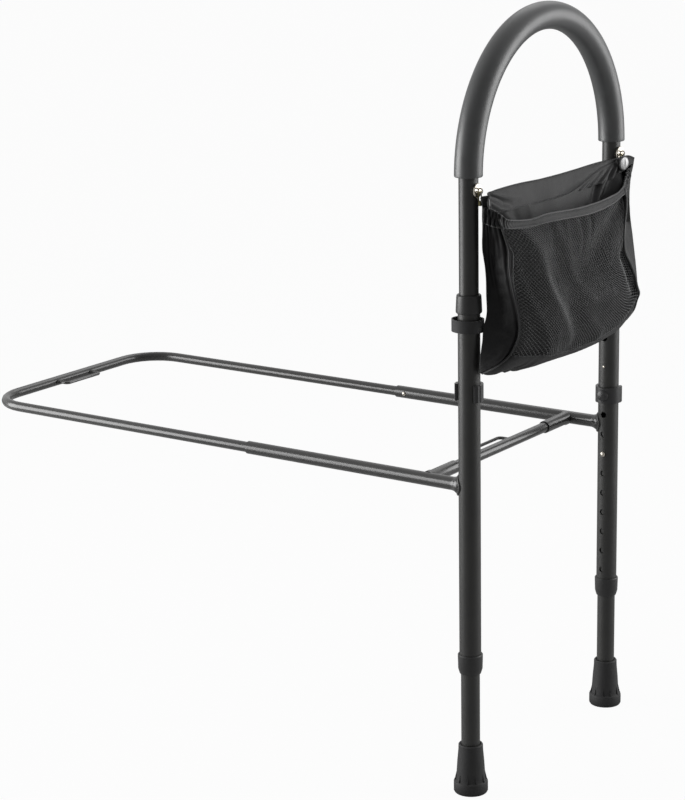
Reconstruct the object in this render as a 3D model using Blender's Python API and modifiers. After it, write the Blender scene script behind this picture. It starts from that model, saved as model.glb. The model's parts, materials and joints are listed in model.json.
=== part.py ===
"""Bed assist rail: a telescoping hand rail on a base frame that lies under a mattress.

Axes: X runs from one post to the other, +Y runs under the mattress, +Z is up.
The origin is under the middle of the base frame, at the height of its lower side.
All lengths are in metres.
"""

from math import atan2, cos, pi, radians, sin

import bmesh
import bpy
from mathutils import Matrix, Vector

# Driving sizes of the frame
POST_X = 0.1635  # half the distance between the two posts
POST_Y = -0.375
FLOOR_Z = -0.3666
BAR_Y = 0.3765  # axis of the bar that closes the base frame
BASE_Z = 0.0079  # axis of every base tube
GAP = 0.0003
OVERRUN = 0.003  # how far a cutter runs past the end of what it cuts

# Tube sizes: outer radius and wall
POST_R = 0.0127
LEG_R = 0.0111
ARM_R = 0.0079
BAR_R = 0.00635
WALL = 0.0012
POST_BORE_R = POST_R - WALL
LEG_BORE_R = LEG_R - WALL
ARM_BORE_R = ARM_R - WALL
BAR_BORE_R = BAR_R - WALL

# Heights above the floor
POST_BOTTOM = 0.1528
POST_TOP = 0.5937
LEG_BOTTOM = 0.0103
LEG_TOP = 0.375
HANDLE_BOTTOM = 0.4012
ARCH_START = 0.730
HOLE_PITCH = 0.0254
TOP_LEG_HOLE = 0.3878
LEG_HOLES = 9
LEG_BUTTON = TOP_LEG_HOLE - 2 * HOLE_PITCH
LOWER_PEG = 0.4132
UPPER_PEG = 0.4856
POUCH_EYE = 0.7155

# Base frame, measured from the posts' axis along Y
ARM_REACH = 0.3175
FRAME_BUTTON_REACH = 0.3025
PLUG_REACH = 0.2525  # where the inner tubes end inside the arms
CROSSBAR_REACH = 0.0582
STUB_LENGTH = 0.059
BEND_RADIUS = 0.055
LOOP_HALF = 0.0335
LOOP_REACH = 0.0225
LOOP_WIRE_R = 0.002

# Holes
BUTTON_HOLE_R = 0.00375
INNER_HOLE_R = 0.0036
FRAME_HOLE_R = 0.0031
EYE_HOLE_R = 0.0025
STUD_HOLE_R = 0.0024

# Feet, foam, clips and soft goods
FOOT_FINS = 10
FOAM_R = 0.016
FOAM_BORE_R = 0.0115
ARCH_STEPS = 25
CLIP_BORE_R = 0.01305
CLIP_R = 0.0162
CLIP_HEIGHT = 0.0198
CLIP_WRAP = radians(128)
STRAP_HEIGHT = 0.563
STRAP_WIDTH = 0.014
POUCH_BACK = -0.0183  # from the posts' axis
MOUTH_SAG = 0.0085
STUD_X = 0.159
STUD_HEIGHT = 0.699
STUD_SHANK_R = 0.002
CLOTH = 0.002
POUCH_INNER_POINTS = 41

# A snap button's dome, as shares of its radius: out from its axis, and down from its top
BUTTON_DOME = [(0.45, 0.08), (0.82, 0.26), (1, 0.45)]

STEPS = 28
SIDES = {"left": -1, "right": 1}
UP_TO_Y = (-pi / 2, 0, 0)

DARK_STEEL = ((0.045, 0.045, 0.043), 0.42, 0.0)
BRIGHT_STEEL = ((0.62, 0.60, 0.56), 0.28, 1.0)
BLACK_PLASTIC = ((0.03, 0.03, 0.03), 0.5, 0.0)
BLACK_RUBBER = ((0.025, 0.025, 0.026), 0.8, 0.0)
GREY_FOAM = ((0.05, 0.05, 0.05), 0.85, 0.0)
BLACK_NYLON = ((0.02, 0.02, 0.021), 0.75, 0.0)


def above_floor(height):
    return FLOOR_Z + height


def from_posts(reach):
    return POST_Y + reach


# Scene, collections and materials


def clear_scene():
    for obj in list(bpy.data.objects):
        bpy.data.objects.remove(obj, do_unlink=True)


def new_collection(name):
    collection = bpy.data.collections.new(name)
    bpy.context.scene.collection.children.link(collection)
    return collection


def new_material(name, look):
    colour, roughness, metallic = look
    material = bpy.data.materials.new(name)
    material.use_nodes = True
    shader = material.node_tree.nodes["Principled BSDF"]
    shader.inputs["Base Color"].default_value = (*colour, 1)
    shader.inputs["Roughness"].default_value = roughness
    shader.inputs["Metallic"].default_value = metallic
    return material


class Shop:
    """The two collections, and how a piece or a cutter is put in them."""

    def __init__(self):
        self.parts = new_collection("bed_assist_rail")
        self.cutters = new_collection("cutters")
        self.cutters.hide_render = True

    def part(self, obj, look):
        self.move(obj, self.parts)
        obj.data.materials.clear()
        obj.data.materials.append(new_material(obj.name, look))
        return obj

    def cutter(self, obj):
        self.move(obj, self.cutters)
        obj.display_type = "WIRE"
        obj.hide_render = True
        return obj

    @staticmethod
    def move(obj, collection):
        for old in list(obj.users_collection):
            old.objects.unlink(obj)
        collection.objects.link(obj)


# Shape helpers


def new_object(name, data):
    obj = bpy.data.objects.new(name, data)
    bpy.context.scene.collection.objects.link(obj)
    return obj


def smooth(obj):
    for face in obj.data.polygons:
        face.use_smooth = True


def profile_mesh(name, points, closed):
    mesh = bpy.data.meshes.new(name)
    edges = [(i, i + 1) for i in range(len(points) - 1)]
    if closed:
        edges.append((len(points) - 1, 0))
    mesh.from_pydata([(r, 0, z) for r, z in points], edges, [])
    return mesh


def turned(name, points, place=(0, 0, 0), turn=(0, 0, 0), steps=STEPS, closed=True):
    """A solid turned about its Z axis. Points (radius, z) run down the outer side first."""
    obj = new_object(name, profile_mesh(name, points, closed))
    obj.location = place
    obj.rotation_euler = turn
    screw = obj.modifiers.new("Screw", "SCREW")
    screw.steps = screw.render_steps = steps
    screw.use_merge_vertices = True
    screw.merge_threshold = 0.00001
    screw.use_smooth_shade = True
    return obj


def tube_points(outer, inner, low, high):
    return [(outer, high), (outer, low), (inner, low), (inner, high)]


def rod(name, radius, start, end, steps=STEPS):
    """A solid cylinder from one point to another."""
    start, end = Vector(start), Vector(end)
    bpy.ops.mesh.primitive_cylinder_add(
        vertices=steps, radius=radius, depth=(end - start).length, location=(start + end) / 2
    )
    obj = bpy.context.object
    obj.name = obj.data.name = name
    obj.rotation_euler = (end - start).to_track_quat("Z", "Y").to_euler()
    smooth(obj)
    return obj


def poly_curve(name, points, radius, resolution, flare=1.0, closed=False):
    """A round wire or tube through the points. flare widens its two ends."""
    curve = bpy.data.curves.new(name, "CURVE")
    curve.dimensions = "3D"
    curve.bevel_depth = radius
    curve.bevel_resolution = resolution
    curve.use_fill_caps = True
    spline = curve.splines.new("POLY")
    spline.points.add(len(points) - 1)
    for point, place in zip(spline.points, points):
        point.co = (*place, 1)
    spline.points[0].radius = spline.points[-1].radius = flare
    spline.use_cyclic_u = closed
    spline.use_smooth = True
    return new_object(name, curve)


def outline_plate(name, outlines, thickness):
    """A flat plate in its own XY plane. The outlines after the first are holes in it."""
    curve = bpy.data.curves.new(name, "CURVE")
    curve.dimensions = "2D"
    curve.fill_mode = "BOTH"
    curve.extrude = thickness / 2
    for outline in outlines:
        spline = curve.splines.new("POLY")
        spline.points.add(len(outline) - 1)
        for point, (x, y) in zip(spline.points, outline):
            point.co = (x, y, 0, 1)
        spline.use_cyclic_u = True
    return new_object(name, curve)


def as_mesh(curve_object):
    """Replaces a curve object by a welded mesh object of the same name and place."""
    bpy.context.view_layer.update()
    graph = bpy.context.evaluated_depsgraph_get()
    mesh = bpy.data.meshes.new_from_object(curve_object.evaluated_get(graph))
    solid = bmesh.new()
    solid.from_mesh(mesh)
    bmesh.ops.remove_doubles(solid, verts=solid.verts, dist=0.00001)
    bmesh.ops.recalc_face_normals(solid, faces=solid.faces)
    solid.to_mesh(mesh)
    solid.free()
    place, name = curve_object.matrix_world.copy(), curve_object.name
    bpy.data.objects.remove(curve_object, do_unlink=True)
    obj = new_object(name, mesh)
    obj.matrix_world = place
    return obj


def boolean(shop, target, tool, operation):
    change = target.modifiers.new(tool.name, "BOOLEAN")
    change.operation = operation
    change.solver = "EXACT"
    change.object = shop.cutter(tool)


def cut(shop, target, tool):
    boolean(shop, target, tool, "DIFFERENCE")


def join(shop, target, tool):
    boolean(shop, target, tool, "UNION")


def arc(radius, start, end, count):
    """Points on an arc in a plane, from one angle to another, both included."""
    step = (end - start) / (count - 1)
    return [(radius * cos(start + step * i), radius * sin(start + step * i)) for i in range(count)]


def body_empty(shop, name, place):
    empty = new_object(name, None)
    empty.empty_display_size = 0.02
    empty.location = place
    Shop.move(empty, shop.parts)
    return empty


def ride(empty, *objects):
    bpy.context.view_layer.update()
    for obj in objects:
        obj.parent = empty
        obj.matrix_parent_inverse = empty.matrix_world.inverted()


# The welded side frames


def wall_holes(name, side, heights, radius, steps=12):
    """One cutter with a round hole through the inner wall of a post at each height."""
    solid = bmesh.new()
    quarter = Matrix.Rotation(pi / 2, 4, "Y")
    for height in heights:
        place = Matrix.Translation((-side * 0.0112, 0, above_floor(height)))
        bmesh.ops.create_cone(
            solid,
            cap_ends=True,
            segments=steps,
            radius1=radius,
            radius2=radius,
            depth=0.0076,
            matrix=place @ quarter,
        )
    mesh = bpy.data.meshes.new(name)
    solid.to_mesh(mesh)
    solid.free()
    obj = new_object(name, mesh)
    obj.location = (side * POST_X, POST_Y, 0)
    return obj


def upright(shop, label, side):
    name = f"{label}_upright"
    points = tube_points(POST_R, POST_BORE_R, above_floor(POST_BOTTOM), above_floor(POST_TOP))
    tube = turned(name, points, (side * POST_X, POST_Y, 0))
    heights = [TOP_LEG_HOLE - HOLE_PITCH * i for i in range(LEG_HOLES)] + [LOWER_PEG, UPPER_PEG]
    cut(shop, tube, wall_holes(f"{name}_holes", side, heights, BUTTON_HOLE_R))
    return shop.part(tube, DARK_STEEL)


def top_collar(shop, label, side):
    lip, skirt = LEG_R + 0.00035, POST_R + 0.00035
    points = [
        (0.0132, 0.0210),
        (0.0140, 0.0202),
        (0.0143, 0.0170),
        (0.0150, 0.0030),
        (0.0148, 0.0008),
        (0.0140, 0),
        (skirt, 0),
        (skirt, 0.0170),
        (lip, 0.0170),
        (lip, 0.0210),
    ]
    place = (side * POST_X, POST_Y, above_floor(POST_TOP - 0.0167))
    return shop.part(turned(f"{label}_top_collar", points, place), BLACK_PLASTIC)


def bottom_collar(shop, label, side):
    lip, skirt = LEG_R + 0.00035, POST_R + 0.00035
    points = [
        (0.0139, 0.0236),
        (0.0147, 0.0226),
        (0.0147, 0.0200),
        (0.0143, 0.0060),
        (0.0125, 0),
        (lip, 0),
        (lip, 0.0040),
        (skirt, 0.0040),
        (skirt, 0.0236),
    ]
    place = (side * POST_X, POST_Y, above_floor(POST_BOTTOM - 0.0043))
    return shop.part(turned(f"{label}_bottom_collar", points, place), BLACK_PLASTIC)


def base_arm(shop, label, side):
    """The tube under the mattress, with its weld to the post and the stub for the crossbar."""
    name = f"{label}_base_arm"
    x, inward = side * POST_X, -side
    post_side = (x, from_posts(0.006), BASE_Z)
    arm = rod(name, ARM_R, (x, from_posts(0.008), BASE_Z), (x, from_posts(ARM_REACH), BASE_Z))
    y = from_posts(CROSSBAR_REACH)
    stub_end = (x + inward * STUB_LENGTH, y, BASE_Z)
    join(shop, arm, rod(f"{name}_stub", ARM_R - 0.0001, (x, y, BASE_Z), stub_end))
    weld = [
        (0, 0.0170),
        (ARM_R - 0.0002, 0.0170),
        (ARM_R + 0.0005, 0.0135),
        (ARM_R + 0.0016, 0.0105),
        (ARM_R + 0.0033, 0.0075),
        (ARM_R + 0.0037, 0.0040),
        (ARM_R + 0.0031, 0),
        (0, 0),
    ]
    join(shop, arm, turned(f"{name}_weld", weld, post_side, UP_TO_Y, closed=False))
    bead = [
        (0, 0.0115),
        (ARM_R - 0.0002, 0.0115),
        (ARM_R + 0.0008, 0.0090),
        (ARM_R + 0.0008, 0.0020),
        (0, 0.0020),
    ]
    to_stub = (0, inward * pi / 2, 0)
    join(shop, arm, turned(f"{name}_stub_weld", bead, (x, y, BASE_Z), to_stub, closed=False))
    post = rod(f"{name}_post_clearance", POST_R + GAP, (x, POST_Y, -0.05), (x, POST_Y, 0.06), 40)
    cut(shop, arm, post)
    bore_start = (x, from_posts(0.005), BASE_Z)
    bore_end = (x, from_posts(ARM_REACH + OVERRUN), BASE_Z)
    cut(shop, arm, rod(f"{name}_bore", ARM_BORE_R, bore_start, bore_end))
    socket_start = (x + inward * 0.0088, y, BASE_Z)
    socket_end = (x + inward * (STUB_LENGTH + OVERRUN), y, BASE_Z)
    cut(shop, arm, rod(f"{name}_socket", ARM_BORE_R, socket_start, socket_end))
    y = from_posts(FRAME_BUTTON_REACH)
    hole = rod(f"{name}_button_hole", FRAME_HOLE_R, (x, y, BASE_Z), (x + inward * 0.02, y, BASE_Z), 12)
    cut(shop, arm, hole)
    return shop.part(arm, DARK_STEEL)


def crossbar(shop):
    half = POST_X - 0.0098
    points = tube_points(BAR_R, BAR_BORE_R, -half, half)
    place = (0, from_posts(CROSSBAR_REACH), BASE_Z)
    bar = turned("crossbar", points, place, (0, pi / 2, 0), 24)
    return shop.part(bar, DARK_STEEL)


def strap_loop(shop, name, bar_y, outward):
    """A bent wire loop for a strap, standing off a bar along Y."""
    corner = 0.005
    turn = [(corner * (1 - cos(a)), corner * sin(a)) for a in (0, pi / 8, pi / 4, 3 * pi / 8, pi / 2)]
    left = [(-LOOP_HALF, BAR_R + 0.0004), (-LOOP_HALF, BAR_R + 0.0022)]
    left += [(-LOOP_HALF + x, LOOP_REACH - corner + y) for x, y in turn]
    outline = left + [(-x, y) for x, y in reversed(left)]
    points = [(x, bar_y + outward * y, BASE_Z) for x, y in outline]
    wire = poly_curve(name, points, LOOP_WIRE_R, 3, flare=1.8)
    return shop.part(wire, DARK_STEEL)


# The end frame that plugs into the arms


def frame_path(start, extra=0.0):
    """From the left plug, round the far bar, to the right plug."""
    x, y = POST_X - BEND_RADIUS, BAR_Y - BEND_RADIUS
    corner = [(x + cx, y + cy) for cx, cy in arc(BEND_RADIUS, 0, pi / 2, 9)]
    right = [(POST_X, start - extra)] + corner
    outline = [(-px, py) for px, py in right] + right[::-1]
    return [(px, py, BASE_Z) for px, py in outline]


def end_frame(shop):
    start = from_posts(PLUG_REACH)
    tube = as_mesh(poly_curve("end_frame", frame_path(start), BAR_R, 6))
    bore = as_mesh(poly_curve("end_frame_bore", frame_path(start, OVERRUN), BAR_BORE_R, 4))
    cut(shop, tube, bore)
    y = from_posts(FRAME_BUTTON_REACH)
    for label, side in SIDES.items():
        axis = (side * POST_X, y, BASE_Z), (side * (POST_X - 0.01), y, BASE_Z)
        cut(shop, tube, rod(f"end_frame_{label}_hole", FRAME_HOLE_R, *axis, 12))
    smooth(tube)
    return shop.part(tube, DARK_STEEL)


# Snap clips: a V spring with a button, which locks one tube inside another


def snap_clip(shop, name, side, place, along, size):
    """A spring leaf bent to a V along one axis, with its button through the inner wall."""
    back, front, length, width, button_r, button_top = size
    inward = Vector((-side, 0, 0))
    along = Vector(along)
    across = inward.cross(along)
    bend = (front - back) / 2
    middle = (front + back) / 2
    round_end = [(middle + bend * cos(a), length + bend * sin(a)) for a in (pi * i / 6 for i in range(7))]
    path = [(front, -0.006)] + round_end + [(back, -0.010)]
    solid = bmesh.new()
    rows = []
    for depth, run in path:
        centre = inward * depth + along * run
        rows.append([solid.verts.new(centre + across * half) for half in (-width / 2, width / 2)])
    for (a, b), (c, d) in zip(rows, rows[1:]):
        solid.faces.new((a, b, d, c))
    mesh = bpy.data.meshes.new(name)
    solid.to_mesh(mesh)
    solid.free()
    leaf = new_object(name, mesh)
    leaf.location = place
    sheet = leaf.modifiers.new("Solidify", "SOLIDIFY")
    sheet.thickness = 0.0005
    sheet.offset = 0
    points = [(0, button_top)]
    points += [(button_r * out, button_top - button_r * down) for out, down in BUTTON_DOME]
    points += [(button_r, front), (0, front)]
    button = turned(f"{name}_button", points, place, (0, -side * pi / 2, 0), 12, closed=False)
    join(shop, leaf, button)
    return shop.part(leaf, BRIGHT_STEEL)


def leg_clip(shop, label, side):
    place = (side * POST_X, POST_Y, above_floor(LEG_BUTTON))
    size = (-0.0085, 0.0088, 0.030, 0.0070, 0.0033, 0.0149)
    return snap_clip(shop, f"{label}_leg_snap_clip", side, place, (0, 0, -1), size)


def frame_clip(shop, label, side):
    place = (side * POST_X, from_posts(FRAME_BUTTON_REACH), BASE_Z)
    size = (-0.0040, 0.0041, 0.022, 0.0042, 0.0028, 0.0098)
    return snap_clip(shop, f"{label}_frame_snap_clip", side, place, (0, 1, 0), size)


# The telescoping legs


def leg_tube(shop, label, side):
    name = f"{label}_leg_tube"
    points = tube_points(LEG_R, LEG_BORE_R, above_floor(LEG_BOTTOM), above_floor(LEG_TOP))
    tube = turned(name, points, (side * POST_X, POST_Y, 0))
    cut(shop, tube, wall_holes(f"{name}_hole", side, [LEG_BUTTON], INNER_HOLE_R))
    return shop.part(tube, DARK_STEEL)


def foot_fins(name, place):
    """Ten triangular fins between the foot's cone and its flange, as one tool."""
    solid = bmesh.new()
    for i in range(FOOT_FINS):
        size = Matrix.Diagonal((0.0075, 0.0016, 0.020, 1))
        turn = Matrix.Rotation(2 * pi * (i + 0.5) / FOOT_FINS, 4, "Z")
        spot = Matrix.Translation((0.0160, 0, 0.0220))
        made = bmesh.ops.create_cube(solid, size=1, matrix=turn @ spot @ size)
        for vertex in made["verts"]:
            if vertex.co.z > 0.03 and vertex.co.xy.length > 0.017:
                vertex.co.xy *= 0.0152 / vertex.co.xy.length
    mesh = bpy.data.meshes.new(name)
    solid.to_mesh(mesh)
    solid.free()
    fins = new_object(name, mesh)
    fins.location = place
    return fins


def rubber_foot(shop, label, side):
    name = f"{label}_foot"
    bore = LEG_R + 0.00035
    points = [
        (0, 0.0080),
        (bore, 0.0080),
        (bore, 0.0585),
        (bore + 0.0006, 0.0600),
        (0.0136, 0.0600),
        (0.0145, 0.0588),
        (0.0147, 0.0520),
        (0.0160, 0.0380),
        (0.0172, 0.0190),
        (0.0176, 0.0155),
        (0.0198, 0.0138),
        (0.0203, 0.0120),
        (0.0203, 0.0018),
        (0.0193, 0),
        (0.0105, 0),
        (0.0090, 0.0015),
        (0, 0.0015),
    ]
    place = (side * POST_X, POST_Y, FLOOR_Z)
    foot = turned(name, points, place, closed=False)
    join(shop, foot, foot_fins(f"{name}_fins", place))
    return shop.part(foot, BLACK_RUBBER)


def foot_washer(shop, label, side):
    points = [(0.0110, 0.0015), (0.0110, 0), (0.0030, 0), (0.0030, 0.0015)]
    place = (side * POST_X, POST_Y, above_floor(0.0084))
    return shop.part(turned(f"{label}_foot_washer", points, place, steps=24), BRIGHT_STEEL)


# The handle, which slides in the posts


def arch_path(extra):
    """Round the top of the handle, with a straight end of the given length at each foot."""
    bend = [(x, POST_Y, above_floor(ARCH_START) + z) for x, z in arc(POST_X, 0, pi, ARCH_STEPS)]
    low = above_floor(ARCH_START) - extra
    return [(POST_X, POST_Y, low)] + bend + [(-POST_X, POST_Y, low)]


def handle_tube(shop):
    drop = ARCH_START - HANDLE_BOTTOM
    tube = as_mesh(poly_curve("handle_tube", arch_path(drop), LEG_R, 8))
    bore_path = arch_path(drop + OVERRUN)
    cut(shop, tube, as_mesh(poly_curve("handle_tube_bore", bore_path, LEG_BORE_R, 4)))
    for label, side in SIDES.items():
        pegs = wall_holes(f"handle_tube_{label}_holes", side, [LOWER_PEG, UPPER_PEG], INNER_HOLE_R)
        cut(shop, tube, pegs)
        x, z = side * POST_X, above_floor(POUCH_EYE)
        axis = (x, from_posts(-0.007), z), (x, from_posts(-0.015), z)
        cut(shop, tube, rod(f"handle_tube_{label}_eye_hole", EYE_HOLE_R, *axis, 12))
    smooth(tube)
    return shop.part(tube, DARK_STEEL)


def foam_grip(shop):
    foam = as_mesh(poly_curve("foam_grip", arch_path(0)[1:-1], FOAM_R, 10))
    cut(shop, foam, as_mesh(poly_curve("foam_grip_bore", arch_path(OVERRUN), FOAM_BORE_R, 7)))
    smooth(foam)
    return shop.part(foam, GREY_FOAM)


def lock_clip(shop, label, side):
    """A C of plastic that snaps round the post, with its peg through the post and the handle."""
    name = f"{label}_lock_clip"
    height = UPPER_PEG if side < 0 else LOWER_PEG
    place = (side * POST_X, POST_Y, above_floor(height))
    facing = 0 if side < 0 else pi
    ribs = [radians(degrees) for degrees in (98, 114)]
    outline = []
    for x, y in arc(1, -CLIP_WRAP, CLIP_WRAP, 33):
        angle = abs(atan2(y, x))
        rise = 0.0008 if min(abs(angle - rib) for rib in ribs) < radians(3) else 0
        outline.append((CLIP_R + rise, atan2(y, x)))
    outline += [(CLIP_BORE_R, atan2(y, x)) for x, y in arc(1, CLIP_WRAP, -CLIP_WRAP, 25)]
    points = [(r * cos(a + facing), r * sin(a + facing)) for r, a in outline]
    clip = outline_plate(name, [points], CLIP_HEIGHT)
    clip.location = place
    clip = as_mesh(clip)
    peg = [
        (0, 0.0192),
        (0.0036, 0.0188),
        (0.0061, 0.0177),
        (0.00725, 0.0160),
        (0.00725, 0.0140),
        (0.0033, 0.0140),
        (0.0033, 0.0091),
        (0.0027, 0.0085),
        (0, 0.0085),
    ]
    turn = (0, -side * pi / 2, 0)
    join(shop, clip, turned(f"{name}_peg", peg, place, turn, 24, closed=False))
    return shop.part(clip, BLACK_PLASTIC)


# The pouch and what holds it


def pouch_eye(shop, label, side):
    """A washer riveted to the handle tube, with a small ring standing on it."""
    name = f"{label}_pouch_eye"
    place = (side * POST_X, POST_Y, above_floor(POUCH_EYE))
    points = [
        (0, 0.0128),
        (0.0076, 0.0128),
        (0.0083, 0.0122),
        (0.0083, 0.0114),
        (0.0022, 0.0114),
        (0.0022, 0.0085),
        (0, 0.0085),
    ]
    washer = turned(name, points, place, (pi / 2, 0, 0), 20, closed=False)
    bpy.ops.mesh.primitive_torus_add(
        major_segments=14,
        minor_segments=6,
        major_radius=0.0028,
        minor_radius=0.001,
        location=(place[0], POST_Y - 0.0153, place[2]),
        rotation=(0, pi / 2, 0),
    )
    ring = bpy.context.object
    ring.name = ring.data.name = f"{name}_ring"
    smooth(ring)
    join(shop, washer, ring)
    return shop.part(washer, BRIGHT_STEEL)


def pouch_link(shop, label, side):
    """A wire loop that hangs in the eye, closed by a ferrule."""
    name = f"{label}_pouch_link"
    y, top = POST_Y - 0.0150, above_floor(POUCH_EYE) - 0.0008
    half, low = 0.0027, top - 0.0130
    outline = [(half - 0.001, top), (half, top - 0.001), (half, low + 0.004), (0.0009, low - 0.001)]
    outline += [(-x, z) for x, z in reversed(outline)]
    points = [(side * POST_X + x, y, z) for x, z in outline]
    wire = as_mesh(poly_curve(name, points, 0.0007, 2, closed=True))
    ferrule = [(0, 0.0028), (0.0019, 0.0028), (0.0023, 0.0020), (0.0020, -0.0028), (0, -0.0028)]
    place = (side * POST_X, y, low)
    join(shop, wire, turned(f"{name}_ferrule", ferrule, place, steps=20, closed=False))
    smooth(wire)
    return shop.part(wire, BRIGHT_STEEL)


def pouch_stud(shop, label, side):
    """A press stud through the pouch: cap in front, flange behind."""
    points = [
        (0, 0.0234),
        (0.0045, 0.0231),
        (0.0070, 0.0221),
        (0.00775, 0.0210),
        (0.00775, 0.0206),
        (STUD_SHANK_R, 0.0206),
        (STUD_SHANK_R, 0.0181),
        (0.0060, 0.0181),
        (0.0060, 0.0176),
        (0, 0.0176),
    ]
    place = (side * STUD_X, POST_Y, above_floor(STUD_HEIGHT))
    stud = turned(f"{label}_pouch_stud", points, place, (pi / 2, 0, 0), 20, closed=False)
    return shop.part(stud, BRIGHT_STEEL)


# Sections through the pouch, in millimetres: height above the floor, then points (x, y from the
# posts' axis) from the left edge of its back, round its front, to the right edge
POUCH_SECTIONS = [
    (
        686,
        [(-167, -19.3), (-162, -30), (-156, -38), (-80, -46), (0, -49)]
        + [(70, -45), (130, -38), (150, -30), (171, -19.3)],
    ),
    (
        640,
        [(-162, -19.3), (-158, -34), (-155, -47), (-80, -58), (0, -62)]
        + [(60, -57), (112, -47), (140, -32), (171, -19.3)],
    ),
    (
        600,
        [(-158, -19.3), (-152, -38), (-151, -54), (-80, -65), (0, -68)]
        + [(58, -62), (109, -52), (142, -35), (175, -19.3)],
    ),
    (
        560,
        [(-160, -19.3), (-152, -39), (-148, -55), (-80, -65), (0, -66)]
        + [(70, -59), (150, -41), (177, -31), (183, -19.3)],
    ),
    (
        540,
        [(-165, -19.3), (-156, -37), (-146, -51), (-80, -60), (0, -60)]
        + [(90, -50), (165, -35), (179, -29), (182, -19.3)],
    ),
    (
        520,
        [(-167, -19.3), (-162, -30), (-155, -40), (-80, -49), (0, -50)]
        + [(80, -44), (155, -32), (168, -27), (172, -19.3)],
    ),
    (
        505,
        [(-164, -19.3), (-163, -22.5), (-160, -25), (-80, -32), (0, -35)]
        + [(80, -31), (140, -28), (160, -25), (168, -19.3)],
    ),
]
BACK_TOP = (712, [(-169, -19.3), (175, -19.3)])
BACK_BOTTOM = (503.5, [(-163, -19.3), (166, -19.3)])


def through(points, count):
    """A smooth open line through the points, with count steps from each to the next."""
    ends = [points[0]] + points + [points[-1]]
    line = []
    for a, b, c, d in zip(ends, ends[1:], ends[2:], ends[3:]):
        for i in range(count):
            t = i / count
            pull = (-t + 2 * t**2 - t**3, 2 - 5 * t**2 + 3 * t**3, t + 4 * t**2 - 3 * t**3, t**3 - t**2)
            line.append(sum((Vector(p) * w for p, w in zip((a, b, c, d), pull)), Vector((0, 0))) / 2)
    return line + [Vector(points[-1])]


def inset(line, distance):
    """The same open line moved inwards, away from the pouch's front."""
    moved = []
    for i, point in enumerate(line):
        before, after = line[max(i - 1, 0)], line[min(i + 1, len(line) - 1)]
        along = (after - before).normalized()
        moved.append(point + Vector((-along.y, along.x)) * distance)
    return moved


def evenly_spaced(line, count):
    """The same open line with count points at equal distances."""
    lengths = [(b - a).length for a, b in zip(line, line[1:])]
    step = sum(lengths) / (count - 1)
    points, i, passed = [], 0, 0
    for n in range(count - 1):
        while passed + lengths[i] < n * step:
            passed += lengths[i]
            i += 1
        points.append(line[i].lerp(line[i + 1], (n * step - passed) / lengths[i]))
    return points + [line[-1]]


def loft(name, rings):
    """A closed solid through rings of points, the first ring at the top."""
    solid = bmesh.new()
    rows = [[solid.verts.new(point) for point in ring] for ring in rings]
    for upper, lower in zip(rows, rows[1:]):
        for i in range(len(upper)):
            j = (i + 1) % len(upper)
            solid.faces.new((upper[i], lower[i], lower[j], upper[j]))
    solid.faces.new(rows[0])
    solid.faces.new(rows[-1])
    bmesh.ops.triangulate(solid, faces=solid.faces)
    bmesh.ops.recalc_face_normals(solid, faces=solid.faces)
    mesh = bpy.data.meshes.new(name)
    solid.to_mesh(mesh)
    solid.free()
    return new_object(name, mesh)


def pouch_ring(section, depth, raised=0.0):
    """One section in place. depth is how far inside the outer skin it lies."""
    height, points = section
    line = through([(x / 1000, y / 1000) for x, y in points], 3)
    left, right = line[0].x, line[-1].x
    if depth:
        back = POUCH_BACK - CLOTH - 0.00015
        front = [p for p in inset(line, depth) if p.y < back and left + depth < p.x < right - depth]
        corners = Vector((left + depth, back)), Vector((right - depth, back))
        line = evenly_spaced([corners[0], *front, corners[1]], POUCH_INNER_POINTS)
    low, high = POUCH_SECTIONS[-1][0], POUCH_SECTIONS[0][0]
    share = (height - low) / (high - low)
    ring = []
    for p in line:
        sag = MOUTH_SAG * share * max(0, 1 - (p.x / 0.16) ** 2)
        ring.append((p.x, POST_Y + p.y, above_floor(height / 1000) + raised - sag))
    return ring


def back_ring(section):
    """The back panel's outline at one height: a slim rectangle."""
    height, points = section
    left, right = points[0][0] / 1000 - CLOTH / 4, points[-1][0] / 1000 + CLOTH / 4
    front, back = from_posts(POUCH_BACK - CLOTH), from_posts(POUCH_BACK)
    corners = [(left, front), (right, front), (right, back), (left, back)]
    return [(x, y, above_floor(height / 1000)) for x, y in corners]


def pouch(shop):
    panel = loft("pouch", [back_ring(edge) for edge in [BACK_TOP] + POUCH_SECTIONS + [BACK_BOTTOM]])
    join(shop, panel, loft("pouch_front", [pouch_ring(section, 0) for section in POUCH_SECTIONS]))
    top, bottom = POUCH_SECTIONS[0], POUCH_SECTIONS[-1]
    inner = [pouch_ring(top, CLOTH, 0.02)]
    inner += [pouch_ring(section, CLOTH) for section in POUCH_SECTIONS[:-1]]
    inner.append(pouch_ring(bottom, CLOTH, 0.003))
    cut(shop, panel, loft("pouch_inside", inner))
    for label, side in SIDES.items():
        x, z = side * STUD_X, above_floor(STUD_HEIGHT)
        axis = (x, from_posts(-0.016), z), (x, from_posts(-0.024), z)
        cut(shop, panel, rod(f"pouch_{label}_hole", STUD_HOLE_R, *axis, 12))
    return shop.part(panel, BLACK_NYLON)


def pouch_strap(shop, label, side):
    """A webbing loop round the post, behind the pouch."""
    rings = []
    for extra in (0.0015, 0):
        ring = arc(1, 0, 2 * pi * 31 / 32, 32)
        rings.append([(x * (0.0156 + extra), y * (0.0176 + extra)) for x, y in ring])
    strap = outline_plate(f"{label}_pouch_strap", rings, STRAP_WIDTH)
    strap.location = (side * POST_X, from_posts(0.0015), above_floor(STRAP_HEIGHT))
    return shop.part(strap, BLACK_NYLON)


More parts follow.
